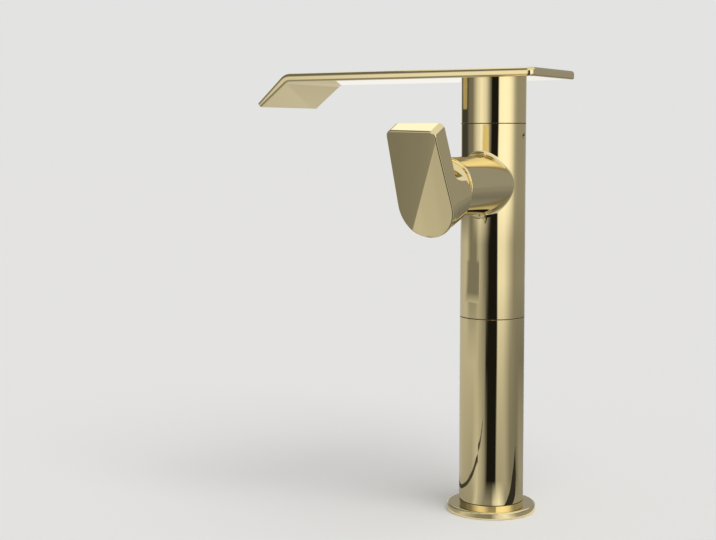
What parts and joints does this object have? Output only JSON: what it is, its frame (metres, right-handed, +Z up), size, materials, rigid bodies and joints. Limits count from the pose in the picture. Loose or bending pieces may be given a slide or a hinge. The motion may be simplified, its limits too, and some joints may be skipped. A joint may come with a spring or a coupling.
{
  "type": "waterfall basin faucet",
  "caption": "Tall single-lever basin mixer: round column, side valve housing with a tilting paddle lever, and a wide flat waterfall spout folded down at its lip.",
  "frame": {"origin": "centre of the base flange's underside, on the deck that it stands on", "axes": "+Z up along the column, -Y towards the spout's lip, +X along the valve housing to the lever"},
  "size_m": [0.165, 0.2138, 0.3572],
  "materials": {
    "gold": "polished pale gold plating on brass",
    "brass": "machined brass",
    "steel": "plain stainless steel",
    "rubber": "black rubber",
    "plastic": "moulded acetal",
    "ceramic": "lapped alumina"
  },
  "bodies": {
    "faucet_body": {"base_flange": "gold", "base_gasket": "rubber", "extension_tube": "gold", "foot_adapter": "brass", "mounting_shank": "brass", "rubber_washer": "rubber", "steel_washer": "steel", "mounting_nut": "brass", "valve_body": "gold", "body_o_ring": "rubber", "spout_neck": "gold", "lower_neck_o_ring": "rubber", "upper_neck_o_ring": "rubber", "spout_set_screw": "steel", "spout_top_shell": "gold", "spout_bottom_plate": "gold", "cartridge_base": "plastic", "cartridge_port_seals": "rubber", "fixed_ceramic_disc": "ceramic", "cartridge_shell": "plastic", "cartridge_nut": "brass", "valve_dome": "gold"},
    "temperature_carrier": {"temperature_carrier": "plastic", "stem_pin": "steel"},
    "lever": {"cartridge_stem": "steel", "lever_handle": "gold", "lever_set_screw": "steel", "lever_screw_plug": "plastic"},
    "mixing_disc": {"disc_driver": "plastic", "moving_ceramic_disc": "ceramic"}
  },
  "joints": [
    {"name": "temperature_turn", "type": "hinge", "parent": "faucet_body", "child": "temperature_carrier", "pos_m": [0.068, 0, 0.2295], "axis": [1, 0, 0], "range_deg": [-50, 50]},
    {"name": "flow_tilt", "type": "hinge", "parent": "temperature_carrier", "child": "lever", "pos_m": [0.068, 0, 0.2295], "axis": [0, 1, 0], "range_deg": [-24, 0]},
    {"name": "disc_slide", "type": "slide", "parent": "temperature_carrier", "child": "mixing_disc", "axis": [0, 0, 1], "range_m": [-0.0036, 0]}
  ],
  "couplings": [
    {"joint": "disc_slide", "follows": "flow_tilt", "m_per_rad": 0.008254}
  ]
}
